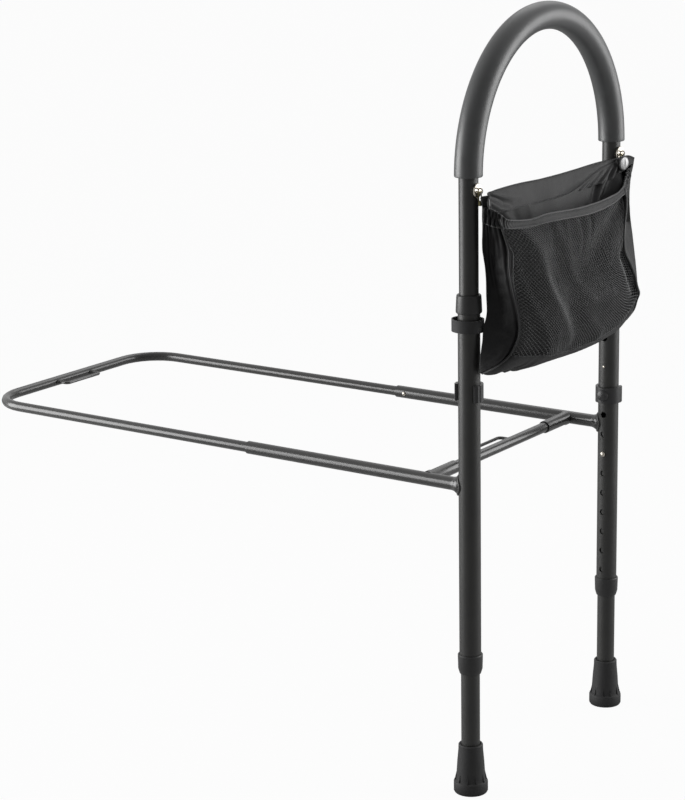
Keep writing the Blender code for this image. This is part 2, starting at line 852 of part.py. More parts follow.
def main():
    clear_scene()
    shop = Shop()
    handle = body_empty(shop, "handle_body", (0, POST_Y, above_floor(HANDLE_BOTTOM)))
    frame = body_empty(shop, "end_frame_body", (0, from_posts(ARM_REACH), BASE_Z))
    crossbar(shop)
    strap_loop(shop, "crossbar_strap_loop", from_posts(CROSSBAR_REACH), 1)
    ride(frame, end_frame(shop), strap_loop(shop, "end_frame_strap_loop", BAR_Y, -1))
    ride(handle, handle_tube(shop), foam_grip(shop), pouch(shop))
    for label, side in SIDES.items():
        upright(shop, label, side)
        top_collar(shop, label, side)
        bottom_collar(shop, label, side)
        base_arm(shop, label, side)
        lock_clip(shop, label, side)
        ride(frame, frame_clip(shop, label, side))
        leg = body_empty(shop, f"{label}_leg_body", (side * POST_X, POST_Y, above_floor(LEG_BUTTON)))
        ride(leg, leg_tube(shop, label, side), rubber_foot(shop, label, side))
        ride(leg, foot_washer(shop, label, side), leg_clip(shop, label, side))
        ride(handle, pouch_eye(shop, label, side), pouch_link(shop, label, side))
        ride(handle, pouch_stud(shop, label, side), pouch_strap(shop, label, side))


main()
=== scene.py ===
"""Looks of the bed assist rail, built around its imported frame.

Axes are the part's own: X runs from post to post, +Y under the mattress and +Z up, in metres. Each class
dresses one sub-assembly, and each finish makes one material.
"""

import json
import logging
import math
from collections.abc import Callable, Iterator, Sequence
from contextlib import contextmanager
from dataclasses import dataclass, field
from enum import Enum
from functools import cache, cached_property

import bmesh
import bpy
from bpy.types import Material, Node, NodeSocket, NodeTree, Object
from mathutils import Matrix, Vector, noise


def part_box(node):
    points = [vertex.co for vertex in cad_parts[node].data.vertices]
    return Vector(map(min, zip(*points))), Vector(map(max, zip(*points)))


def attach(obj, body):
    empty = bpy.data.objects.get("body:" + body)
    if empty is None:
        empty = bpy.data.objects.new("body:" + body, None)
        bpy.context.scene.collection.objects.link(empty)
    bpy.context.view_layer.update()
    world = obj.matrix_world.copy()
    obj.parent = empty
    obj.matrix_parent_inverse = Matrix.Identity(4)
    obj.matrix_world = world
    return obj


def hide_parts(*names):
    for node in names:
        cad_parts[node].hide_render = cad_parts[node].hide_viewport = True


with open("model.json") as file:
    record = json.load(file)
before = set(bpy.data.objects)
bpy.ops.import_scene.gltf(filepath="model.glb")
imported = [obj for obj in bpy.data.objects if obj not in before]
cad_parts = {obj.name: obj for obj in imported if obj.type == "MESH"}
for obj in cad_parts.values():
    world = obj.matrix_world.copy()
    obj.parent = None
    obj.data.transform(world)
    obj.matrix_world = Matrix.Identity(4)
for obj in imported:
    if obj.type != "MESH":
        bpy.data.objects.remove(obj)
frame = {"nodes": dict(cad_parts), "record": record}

log = logging.getLogger("bed_assist_rail")

Pair = tuple[float, float]
Point = tuple[float, float, float]

MM = 0.001


class Side(Enum):
    """The two sides of the rail, with the sign of X there."""

    LEFT = -1
    RIGHT = 1

    @property
    def label(self) -> str:
        """The side's word in node names."""
        return self.name.lower()


class Body(Enum):
    """The bodies that pieces ride on."""

    FRAME = "frame"
    HANDLE = "handle"
    END_FRAME = "end_frame"


def middle_of(node: str) -> Vector:
    """The middle of a CAD node's box."""
    low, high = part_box(node)
    return (low + high) / 2


FLOOR_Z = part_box("left_foot")[0].z
POST_X = middle_of("right_leg_tube").x
POST_Y = middle_of("right_leg_tube").y
BASE_Z = middle_of("crossbar").z


def above_floor(height: float) -> float:
    """The Z of a height above the floor, given in millimetres."""
    return FLOOR_Z + height * MM


def at(x: float, y: float, height: float) -> Vector:
    """A place by the posts, in millimetres: x, y from the posts' axis, height above the floor."""
    return Vector((x * MM, POST_Y + y * MM, above_floor(height)))


# Working on meshes


def make_active(obj: Object) -> None:
    """Selects one object alone and makes it active.

    Args:
        obj: The object.
    """
    bpy.ops.object.select_all(action="DESELECT")
    obj.select_set(True)
    bpy.context.view_layer.objects.active = obj


@contextmanager
def editing(obj: Object, everything: bool = True) -> Iterator[None]:
    """Edit mode on one object.

    Args:
        obj: The object.
        everything: Whether all of it is selected, or only what was marked before.
    """
    make_active(obj)
    bpy.ops.object.mode_set(mode="EDIT")
    if everything:
        bpy.ops.mesh.select_all(action="SELECT")
    yield
    bpy.ops.object.mode_set(mode="OBJECT")


def add_object(name: str, data: bpy.types.ID) -> Object:
    """Puts a new object in the scene.

    Args:
        name: Its name.
        data: Its mesh, curve, light or camera.

    Returns:
        The object.
    """
    obj = bpy.data.objects.new(name, data)
    bpy.context.scene.collection.objects.link(obj)
    return obj


def primitive(kind: str, name: str, **settings: object) -> Object:
    """A new mesh primitive, added with nothing else selected.

    Args:
        kind: The primitive's word in its operator's name.
        name: The object's name.
        **settings: The operator's settings.

    Returns:
        The object.
    """
    bpy.ops.object.select_all(action="DESELECT")
    getattr(bpy.ops.mesh, f"primitive_{kind}_add")(**settings)
    obj = bpy.context.object
    obj.name = obj.data.name = name
    return obj


def place_in_mesh(obj: Object) -> Object:
    """Moves a piece's place, turn and scale into its mesh.

    Args:
        obj: The piece.

    Returns:
        The piece.
    """
    make_active(obj)
    bpy.ops.object.transform_apply(location=True, rotation=True, scale=True)
    return obj


def modified(obj: Object, kind: str, **settings: object) -> Object:
    """Applies one modifier to a piece.

    Args:
        obj: The piece.
        kind: The modifier's type.
        **settings: Values for its properties.

    Returns:
        The piece.
    """
    modifier = obj.modifiers.new(kind.title(), kind)
    for key, value in settings.items():
        setattr(modifier, key, value)
    make_active(obj)
    bpy.ops.object.modifier_apply(modifier=modifier.name)
    return obj


def thicken(obj: Object, thickness: float, offset: float = 0) -> Object:
    """Gives an open sheet its thickness."""
    return modified(obj, "SOLIDIFY", thickness=thickness, offset=offset)


def soften(obj: Object, angle: float, width: float, segments: int) -> Object:
    """Rounds the edges of a piece that are sharper than an angle in degrees."""
    limit = math.radians(angle)
    return modified(obj, "BEVEL", limit_method="ANGLE", angle_limit=limit, width=width, segments=segments)


def shade(obj: Object, angle: float) -> Object:
    """Shades a piece smooth.

    Args:
        obj: The piece.
        angle: Edges sharper than this, in degrees, stay sharp.

    Returns:
        The piece.
    """
    make_active(obj)
    bpy.ops.object.shade_smooth_by_angle(angle=math.radians(angle))
    return obj


def outward(obj: Object) -> Object:
    """Merges a piece's doubles and turns its faces outwards.

    Args:
        obj: The piece.

    Returns:
        The piece.
    """
    with editing(obj):
        bpy.ops.mesh.remove_doubles(threshold=1e-5)
        bpy.ops.mesh.normals_make_consistent(inside=False)
    return obj


def around(steps: int) -> list[float]:
    """The angles of equal steps once round a circle."""
    return [2 * math.pi * i / steps for i in range(steps)]


def curve_through(*points: Point | Vector, steps: int = 8) -> list[Vector]:
    """A smooth open line through Vectors, and through places by the posts in millimetres.

    Args:
        *points: The points, two or more.
        steps: Steps from each point to the next.

    Returns:
        The line's points, both ends included.
    """
    line = [point if isinstance(point, Vector) else at(*point) for point in points]
    ends = [line[0], *line, line[-1]]
    curve = []
    for a, b, c, d in zip(ends, ends[1:], ends[2:], ends[3:]):
        second, third = 2 * a - 5 * b + 4 * c - d, 3 * b - a - 3 * c + d
        for i in range(steps):
            t = i / steps
            curve.append(0.5 * (2 * b + (c - a) * t + second * t**2 + third * t**3))
    return [*curve, line[-1]]


def clamp(share: float) -> float:
    """The share, kept from 0 to 1."""
    return max(0.0, min(1.0, share))


def along(line: Sequence[Vector], share: float) -> Vector:
    """The point at a share of a line's length.

    Args:
        line: The line's points.
        share: 0 at its start and 1 at its end.

    Returns:
        The point.
    """
    lengths = [0.0]
    for a, b in zip(line, line[1:]):
        lengths.append(lengths[-1] + (b - a).length)
    target = clamp(share) * lengths[-1]
    for i in range(1, len(line)):
        if lengths[i] >= target:
            span = lengths[i] - lengths[i - 1]
            return line[i - 1].lerp(line[i], (target - lengths[i - 1]) / span if span else 0)
    return line[-1].copy()


def swept(name: str, points: Sequence[Vector], radius: float, sides: int, closed: bool = False) -> Object:
    """A round wire or cord along a line, as a closed mesh.

    Args:
        name: The piece's name.
        points: The line.
        radius: The wire's radius.
        sides: Sides round the wire.
        closed: Whether the line closes on itself.

    Returns:
        The mesh object.
    """
    curve = bpy.data.curves.new(name, "CURVE")
    curve.dimensions = "3D"
    curve.bevel_depth = radius
    curve.bevel_resolution = (sides - 4) // 2
    curve.use_fill_caps = not closed
    spline = curve.splines.new("POLY")
    spline.points.add(len(points) - 1)
    for point, place in zip(spline.points, points):
        point.co = (*place, 1)
    spline.use_cyclic_u = closed
    make_active(add_object(name, curve))
    bpy.ops.object.convert(target="MESH")
    return shade(outward(bpy.context.object), 50)


def sheet_grid(
    name: str, columns: int, rows: int, surface: Callable[[float, float], Vector], cut: Pair
) -> Object:
    """A grid of cloth laid on a surface, with its flat cut in metres as its UV map.

    Args:
        name: The piece's name.
        columns: Cells across.
        rows: Cells down.
        surface: Gives the place of each (across, down), both from 0 to 1.
        cut: The cloth's flat width and length.

    Returns:
        The open sheet.
    """
    obj = primitive("grid", name, x_subdivisions=columns, y_subdivisions=rows, size=1, calc_uvs=True)
    layer = obj.data.uv_layers.active.data
    shares = [(v.co.x + 0.5, 0.5 - v.co.y) for v in obj.data.vertices]
    for loop in obj.data.loops:
        across, down = shares[loop.vertex_index]
        layer[loop.index].uv = (across * cut[0], down * cut[1])
    for vertex, (across, down) in zip(obj.data.vertices, shares):
        vertex.co = surface(across, down)
    return obj


# Finishes


def feed(tree: NodeTree, node: Node, inputs: dict[str | int, object]) -> None:
    """Links sockets to a node's inputs and sets its other inputs to plain values.

    Args:
        tree: The node's tree.
        node: The node.
        inputs: A socket or a value for an input's name or number.
    """
    for key, value in inputs.items():
        if isinstance(value, NodeSocket):
            tree.links.new(value, node.inputs[key])
        else:
            node.inputs[key].default_value = value


def add_node(tree: NodeTree, kind: str, inputs: dict[str | int, object], **settings: object) -> Node:
    """Adds a shader node.

    Args:
        tree: The tree it goes in.
        kind: Its type, without the words ShaderNode.
        inputs: A socket or a value for an input's name or number.
        **settings: Values for the node's own properties.

    Returns:
        The node.
    """
    node = tree.nodes.new(f"ShaderNode{kind}")
    for key, value in settings.items():
        setattr(node, key, value)
    feed(tree, node, inputs)
    return node


def maths(tree: NodeTree, operation: str, *values: object) -> NodeSocket:
    """The result of a Math node whose inputs are sockets or numbers."""
    return add_node(tree, "Math", dict(enumerate(values)), operation=operation).outputs[0]


def new_group(name: str, inputs: Sequence[str], outputs: Sequence[str]) -> tuple[NodeTree, Node, Node]:
    """An empty group that takes a vector and numbers, and gives numbers.

    Args:
        name: The group's name.
        inputs: Names of the numbers it takes, beside the vector.
        outputs: Names of the numbers it gives.

    Returns:
        The group and its nodes for input and output.
    """
    tree = bpy.data.node_groups.new(name, "ShaderNodeTree")
    tree.interface.new_socket("Vector", in_out="INPUT", socket_type="NodeSocketVector")
    for way, sockets in (("INPUT", inputs), ("OUTPUT", outputs)):
        for socket in sockets:
            tree.interface.new_socket(socket, in_out=way, socket_type="NodeSocketFloat")
    return tree, tree.nodes.new("NodeGroupInput"), tree.nodes.new("NodeGroupOutput")


@cache
def grain_group() -> NodeTree:
    """Fine noise as a height, and broad noise as a mottle about 1.

    Returns:
        The group, built once.
    """
    tree, given, out = new_group("Grain", ("Fine", "Broad"), ("Height", "Mottle"))
    noises = []
    for size, detail in (("Fine", 3.0), ("Broad", 4.0)):
        inputs = {"Vector": given.outputs["Vector"], "Scale": given.outputs[size], "Detail": detail}
        noises.append(add_node(tree, "TexNoise", inputs).outputs["Fac"])
    feed(tree, out, {"Height": noises[0], "Mottle": maths(tree, "MULTIPLY_ADD", noises[1], 0.6, 0.7)})
    return tree


@cache
def weave_group() -> NodeTree:
    """Over and under threads on a UV map in metres.

    Returns:
        The group, built once.
    """
    tree, given, out = new_group("Weave", ("Thread",), ("Height",))
    split = add_node(tree, "SeparateXYZ", {0: given.outputs["Vector"]})
    waves = []
    for axis in ("X", "Y"):
        turns = maths(tree, "DIVIDE", split.outputs[axis], given.outputs["Thread"])
        waves.append(maths(tree, "SINE", maths(tree, "MULTIPLY", turns, math.pi)))
    crossed = maths(tree, "MULTIPLY", *waves)
    feed(tree, out, {"Height": maths(tree, "MULTIPLY_ADD", crossed, 0.5, 0.5)})
    return tree


@dataclass(frozen=True)
class Finish:
    """A finish with grain on Object coordinates.

    The mottle varies the colour and roughness, and the fine grain is its bump.
    """

    name: str
    colour: Point
    roughness: float
    metallic: float = 0.0
    fine: float = 1500.0
    broad: float = 25.0
    mottle: float = 0.2
    bump: float = 0.15
    bump_depth: float = 0.0001
    coat: float = 0.0
    sheen: float = 0.0
    specular: float = 0.5

    @cached_property
    def material(self) -> Material:
        """The material, built when a piece first asks for it.

        Returns:
            The material.
        """
        material = bpy.data.materials.new(self.name)
        material.use_nodes = True
        tree = material.node_tree
        place = add_node(tree, "TexCoord", {}).outputs["Object"]
        sizes = {"Vector": place, "Fine": self.fine, "Broad": self.broad}
        grain = add_node(tree, "Group", sizes, node_tree=grain_group())
        spread = {"Value": grain.outputs["Mottle"], "From Min": 0.8, "From Max": 1.2}
        shades = [(*(c * share for c in self.colour), 1) for share in (1 - self.mottle, 1 + self.mottle)]
        factor = add_node(tree, "MapRange", spread).outputs["Result"]
        mix = add_node(tree, "Mix", {"A": shades[0], "B": shades[1], "Factor": factor}, data_type="RGBA")
        limits = {"To Min": self.roughness * 0.9, "To Max": min(1, self.roughness * 1.1)}
        rough = add_node(tree, "MapRange", spread | limits)
        relief = {"Strength": self.bump, "Distance": self.bump_depth, "Height": self.height(tree, grain)}
        inputs = {
            "Base Color": mix.outputs["Result"],
            "Roughness": rough.outputs["Result"],
            "Normal": add_node(tree, "Bump", relief).outputs["Normal"],
            "Metallic": self.metallic,
            "Coat Weight": self.coat,
            "Coat Roughness": 0.25,
            "Sheen Weight": self.sheen,
            "Sheen Roughness": 0.45,
            "Specular IOR Level": self.specular,
        }
        feed(tree, tree.nodes["Principled BSDF"], inputs)
        return material

    def height(self, tree: NodeTree, grain: Node) -> NodeSocket:
        """The socket that the bump reads."""
        return grain.outputs["Height"]


@dataclass(frozen=True)
class WovenFinish(Finish):
    """A cloth finish whose threads follow the piece's UV map."""

    thread: float = 0.0005

    def height(self, tree: NodeTree, grain: Node) -> NodeSocket:
        """The threads' height."""
        inputs = {"Thread": self.thread, "Vector": add_node(tree, "UVMap", {}).outputs["UV"]}
        return add_node(tree, "Group", inputs, node_tree=weave_group()).outputs["Height"]


POWDER_COAT = Finish("charcoal_powder_coat", (0.034, 0.034, 0.0325), 0.42, fine=2200)
BASE_COAT = Finish("glossy_powder_coat", (0.034, 0.034, 0.033), 0.25, fine=1800, coat=0.3)
COLLAR = Finish("moulded_collar", (0.026, 0.026, 0.026), 0.42, fine=1600, bump=0.1)
CLIP = Finish("moulded_clip", (0.03, 0.03, 0.031), 0.38, fine=1600, bump=0.06)
RUBBER = Finish("foot_rubber", (0.02, 0.02, 0.0205), 0.62, fine=900, bump=0.3)
FOAM = Finish(
    "closed_cell_foam", (0.05, 0.052, 0.053), 0.43, fine=1300, broad=60, bump=0.3, bump_depth=0.00012,
    specular=0.95,
)
NICKEL = Finish("nickel_plate", (0.66, 0.62, 0.55), 0.22, metallic=1.0, fine=700, mottle=0.12, bump=0.05)
BRASS = Finish("aged_brass_plate", (0.20, 0.18, 0.10), 0.3, metallic=1.0, fine=700, mottle=0.3, bump=0.1)
CAP = Finish("brushed_nickel_cap", (0.3, 0.3, 0.3), 0.42, metallic=1.0, fine=900, mottle=0.15, bump=0.1)
ZINC = Finish("zinc_plate", (0.5, 0.5, 0.49), 0.35, metallic=1.0, fine=700, mottle=0.15)
WELD = Finish("weld_bead", (0.05, 0.05, 0.048), 0.36, fine=1200, bump=0.5)
NYLON = WovenFinish("pouch_nylon", (0.0148, 0.0148, 0.0153), 0.53, sheen=0.02, specular=0.23, bump=0.5)
# Painted shade: a near-black copy of the pouch's nylon for the inside of the back panel, standing in for the
# shade inside the pouch.
PAINTED_INSIDE_SHADE = WovenFinish("coated_inside", (0.006, 0.006, 0.006), 0.6, specular=0.15, bump=0.4)
WEBBING = WovenFinish(
    "strap_webbing", (0.018, 0.018, 0.019), 0.7, sheen=0.1, bump=0.8, bump_depth=0.0002, thread=0.0012
)
NET = Finish("mesh_thread", (0.088, 0.089, 0.09), 0.5, fine=2500, sheen=0.05, bump=0.3)
# Painted highlight: the cord is the pouch's nylon made about twice as light, standing in for the light that
# the raised cords catch.
PAINTED_HIGHLIGHT_CORD = Finish("piping_cord", (0.03, 0.03, 0.031), 0.5, fine=2200, sheen=0.1, bump=0.3)
STITCH = Finish("sewing_thread", (0.06, 0.06, 0.062), 0.55, fine=2500, sheen=0.1, bump=0.3)


def finished(obj: Object, finish: Finish, body: str, node: str = "") -> Object:
    """Gives a piece its finish and body, and logs it.

    Args:
        obj: The piece.
        finish: Its finish.
        body: The body that it rides on.
        node: The CAD node that it replaces, if any.

    Returns:
        The piece.
    """
    obj.data.materials.clear()
    obj.data.materials.append(finish.material)
    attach(obj, body)
    if node:
        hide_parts(node)
    log.info("%s: %d faces", obj.name, len(obj.data.polygons))
    return obj


def dressed_node(node: str, finish: Finish) -> None:
    """Shows a CAD node as a smooth, merged copy that rides on the node's body.

    Args:
        node: The CAD node's name.
        finish: Its finish.
    """
    mesh = frame["nodes"][node].data.copy()
    mesh.materials.clear()
    obj = add_object(f"{node}_dressed", mesh)
    with editing(obj):
        bpy.ops.mesh.remove_doubles(threshold=1e-6)
    if mesh.has_custom_normals:
        make_active(obj)
        bpy.ops.mesh.customdata_custom_splitnormals_clear()
    bodies = frame["record"]["behaviour"]["bodies"]
    body = next(name for name, members in bodies.items() if node in members)
    finished(shade(obj, 32), finish, body, node)


def dressed_nodes(side: Side, *rows: tuple[str, Finish, str]) -> None:
    """Dresses one side's nodes, each row a name without its side, a finish and a slot."""
    for node, finish, slot in rows:
        dressed_node(f"{side.label}_{node}", finish)


# Steel, plastic and rubber that keep the frame's own shapes


@dataclass
class SideFrame:
    """A post with its collars, its welded arm and its lock clip."""

    side: Side
    tube_sides: int = 80
    wall: float = 0.0012
    rim: float = 0.0006
    hole_sides: int = 24
    hole_radius: float = 0.00375
    hole_depth: float = 0.008
    hole_reach: float = 0.0115
    hole_margin: float = 0.007
    hole_pitch: float = 0.0254
    leg_holes: int = 9
    top_leg_hole: float = 387.8
    peg_holes: Pair = (413.2, 485.6)
    rivet_radius: float = 0.0017
    rivet_height: float = 449.5
    rivet_stretch: Point = (0.45, 1, 1)
    weld_steps: int = 96
    weld_radius: float = 0.0113
    weld_lift: float = 0.0004
    bead_radius: float = 0.0017
    ripple: float = 0.00022
    ripples: int = 26

    def build(self) -> None:
        """Makes every piece of the side frame."""
        self.post()
        self.rivet()
        self.arm_weld()
        dressed_nodes(
            self.side,
            ("top_collar", COLLAR, "collar_plastic"),
            ("bottom_collar", COLLAR, "collar_plastic"),
            ("base_arm", BASE_COAT, "frame_steel"),
            ("lock_clip", CLIP, "clip_plastic"),
        )

    @property
    def node(self) -> str:
        """The post's CAD node."""
        return f"{self.side.label}_upright"

    @property
    def post_radius(self) -> float:
        """The post's outer radius."""
        low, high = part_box(self.node)
        return (high - low).x / 2

    def hole_heights(self) -> list[float]:
        """Z of every hole in a post."""
        legs = [above_floor(self.top_leg_hole) - self.hole_pitch * i for i in range(self.leg_holes)]
        return legs + [above_floor(height) for height in self.peg_holes]

    def post(self) -> None:
        """The drilled post."""
        low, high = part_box(self.node)
        levels = {low.z, low.z + self.rim, high.z - self.rim, high.z}
        for height in self.hole_heights():
            levels.update((height - self.hole_margin, height + self.hole_margin))
        levels = sorted(levels)
        foot = (self.side.value * POST_X, POST_Y, levels[0])
        size = {"vertices": self.tube_sides, "radius": (high.x - low.x) / 2}
        obj = primitive("circle", f"{self.node}_drilled", location=foot, **size)
        with editing(obj):
            for lower, upper in zip(levels, levels[1:]):
                bpy.ops.mesh.extrude_region_move(TRANSFORM_OT_translate={"value": (0, 0, upper - lower)})
        thicken(outward(place_in_mesh(obj)), self.wall, -1)
        bits = self.bits()
        modified(obj, "BOOLEAN", operation="DIFFERENCE", object=bits)
        bpy.data.objects.remove(bits)
        finished(shade(obj, 32), POWDER_COAT, Body.FRAME.value, self.node)

    def bits(self) -> Object:
        """The rods that drill the row of holes in the post's inner face.

        Returns:
            The rods, joined.
        """
        x = self.side.value * (POST_X - self.hole_reach)
        size = {"vertices": self.hole_sides, "radius": self.hole_radius, "depth": self.hole_depth}
        bits = [
            primitive("cylinder", "bit", location=(x, POST_Y, z), rotation=(0, math.pi / 2, 0), **size)
            for z in self.hole_heights()
        ]
        for bit in bits:
            bit.select_set(True)
        bpy.context.view_layer.objects.active = bits[0]
        bpy.ops.object.join()
        return bits[0]

    def rivet(self) -> None:
        """A small bright rivet on the post's inner face, between the peg holes."""
        place = (self.side.value * (POST_X - self.post_radius), POST_Y, above_floor(self.rivet_height))
        name = f"{self.side.label}_post_rivet"
        size = {"radius": self.rivet_radius, "scale": self.rivet_stretch, "segments": 16, "ring_count": 8}
        obj = place_in_mesh(primitive("uv_sphere", name, location=place, **size))
        finished(shade(obj, 60), NICKEL, Body.FRAME.value)

    def arm_weld(self) -> None:
        """The rippled weld bead round the base arm where it meets the post."""
        x, reach = self.side.value * POST_X, self.post_radius + self.weld_lift
        line = []
        for turn in around(self.weld_steps):
            across, up = self.weld_radius * math.cos(turn), self.weld_radius * math.sin(turn)
            line.append(Vector((x + across, POST_Y + math.sqrt(reach**2 - across**2), BASE_Z + up)))
        obj = swept(f"{self.side.label}_arm_weld", line, self.bead_radius, 10, closed=True)
        for vertex in obj.data.vertices:
            turn = math.atan2(vertex.co.z - BASE_Z, vertex.co.x - x)
            vertex.co.y += self.ripple * math.sin(turn * self.ripples)
        finished(obj, WELD, Body.FRAME.value)


@dataclass
class BaseFrame:
    """The crossbar, the end frame, their strap loops and the frame's snap clips."""

    bar_radius: float = 0.00635
    loop_reach: float = 0.0335
    weld_radius: float = 0.0036
    weld_stretch: Point = (1.25, 0.8, 0.85)
    weld_offset: float = 0.0072
    ripple: float = 0.00025
    ripple_turn: float = 4200

    def build(self) -> None:
        """Makes every piece of the base frame."""
        for node in ("crossbar", "end_frame", "crossbar_strap_loop", "end_frame_strap_loop"):
            dressed_node(node, BASE_COAT)
        for side in Side:
            dressed_nodes(side, ("frame_snap_clip", NICKEL, "spring_steel"))
        self.loop_welds("crossbar", Body.FRAME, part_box("crossbar")[0].y, 1)
        self.loop_welds("end_frame", Body.END_FRAME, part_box("end_frame")[1].y, -1)

    def loop_welds(self, bar: str, body: Body, face: float, toward: int) -> None:
        """Weld blobs where a loop's legs meet their bar.

        Args:
            bar: The bar's node.
            body: The bar's body.
            face: The Y of the bar's face away from the loop.
            toward: The sign of Y from that face to the loop.
        """
        for side in Side:
            y = face + toward * self.bar_radius + toward * self.weld_offset
            place = (side.value * self.loop_reach, y, BASE_Z)
            name = f"{bar}_{side.label}_loop_weld"
            size = {"radius": self.weld_radius, "scale": self.weld_stretch, "segments": 24, "ring_count": 14}
            obj = place_in_mesh(primitive("uv_sphere", name, location=place, **size))
            for vertex in obj.data.vertices:
                vertex.co.z += self.ripple * math.sin(vertex.co.x * self.ripple_turn)
            finished(shade(obj, 60), WELD, body.value)


@dataclass
class Legs:
    """The two telescoping legs with their feet and snap clips."""

    def build(self) -> None:
        """Makes every piece of both legs."""
        for side in Side:
            dressed_nodes(
                side,
                ("leg_tube", POWDER_COAT, "frame_steel"),
                ("foot", RUBBER, "foot_rubber"),
                ("foot_washer", ZINC, "washer_steel"),
                ("leg_snap_clip", NICKEL, "spring_steel"),
            )


@dataclass
class Handle:
    """The arched tube and its foam grip."""

    foam_sides: int = 56
    foam_rings: int = 120
    foam_wall: float = 0.0045
    end_radius: float = 0.0012

    def build(self) -> None:
        """Makes the handle's pieces."""
        dressed_node("handle_tube", POWDER_COAT)
        self.foam()

    def foam(self) -> None:
        """The foam sleeve over the arch, with softly rounded ends."""
        low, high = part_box("foam_grip")
        radius = (high.y - low.y) / 2
        arch = (high.x - low.x) / 2 - radius
        centre = Vector((0, POST_Y, high.z - radius - arch))
        start = (arch, POST_Y, centre.z)
        obj = primitive("circle", "foam_grip_sleeve", vertices=self.foam_sides, radius=radius, location=start)
        with editing(place_in_mesh(obj)):
            bpy.ops.mesh.spin(
                steps=self.foam_rings, angle=math.pi, center=centre, axis=(0, 1, 0), dupli=False
            )
        thicken(outward(obj), self.foam_wall, -1)
        soften(obj, 60, self.end_radius, 3)
        finished(shade(obj, 60), FOAM, Body.HANDLE.value, "foam_grip")


# The pouch


@dataclass(frozen=True)
class Fold:
    """A soft ridge, or a hollow where its height is negative, along a line on a panel.

    The line's points are shares across and down the panel, its height and half width are in millimetres,
    and fade is what is left of the height at the line's end.
    """

    line: tuple[Pair, ...]
    height: float
    width: float
    fade: float = 0.4

    def lift(self, across: float, down: float, cut: Pair) -> float:
        """How far the cloth stands out at a place, in millimetres.

        Args:
            across: The share across.
            down: The share down.
            cut: The panel's flat width and length.

        Returns:
            The height there.
        """
        place = Vector((across * cut[0], down * cut[1])) / MM
        line = [Vector((x * cut[0], y * cut[1])) / MM for x, y in self.line]
        nearest, share = math.inf, 0.0
        for i, (a, b) in enumerate(zip(line, line[1:])):
            t = clamp((place - a).dot(b - a) / (b - a).length_squared)
            away = (place - a.lerp(b, t)).length
            if away < nearest:
                nearest, share = away, (i + t) / (len(line) - 1)
        return self.height * (1 - (1 - self.fade) * share) * math.exp(-((nearest / self.width) ** 2))


def crumple_at(place: Vector) -> float:
    """Smooth noise from about -1 to 1 in two sizes, for fine crumpling in cloth."""
    return noise.noise(place * 38) + 0.45 * noise.noise(place * 110)


@dataclass
class Panel:
    """A piece of cloth spanned between four edges, with its folds."""

    top: list[Vector]
    bottom: list[Vector]
    left: list[Vector]
    right: list[Vector]
    cut: Pair
    belly: float
    folds: list[Fold]
    crumple: float

    def surface(self, across: float, down: float) -> Vector:
        """A place on the panel, with its belly, its folds and fine crumpling.

        Args:
            across: The share across.
            down: The share down.

        Returns:
            The place.
        """
        top, bottom = along(self.top, across), along(self.bottom, across)
        left, right = along(self.left, down), along(self.right, down)
        corners = (
            self.top[0] * (1 - across) * (1 - down)
            + self.top[-1] * across * (1 - down)
            + self.bottom[0] * (1 - across) * down
            + self.bottom[-1] * across * down
        )
        place = top * (1 - down) + bottom * down + left * (1 - across) + right * across - corners
        edge = math.sin(math.pi * clamp(across)) * math.sin(math.pi * clamp(down) ** 0.8)
        out = self.belly * max(edge, 0) ** 0.75
        out += sum(fold.lift(across, down, self.cut) for fold in self.folds)
        out += self.crumple * crumple_at(place)
        return place - Vector((0, out * MM, 0))


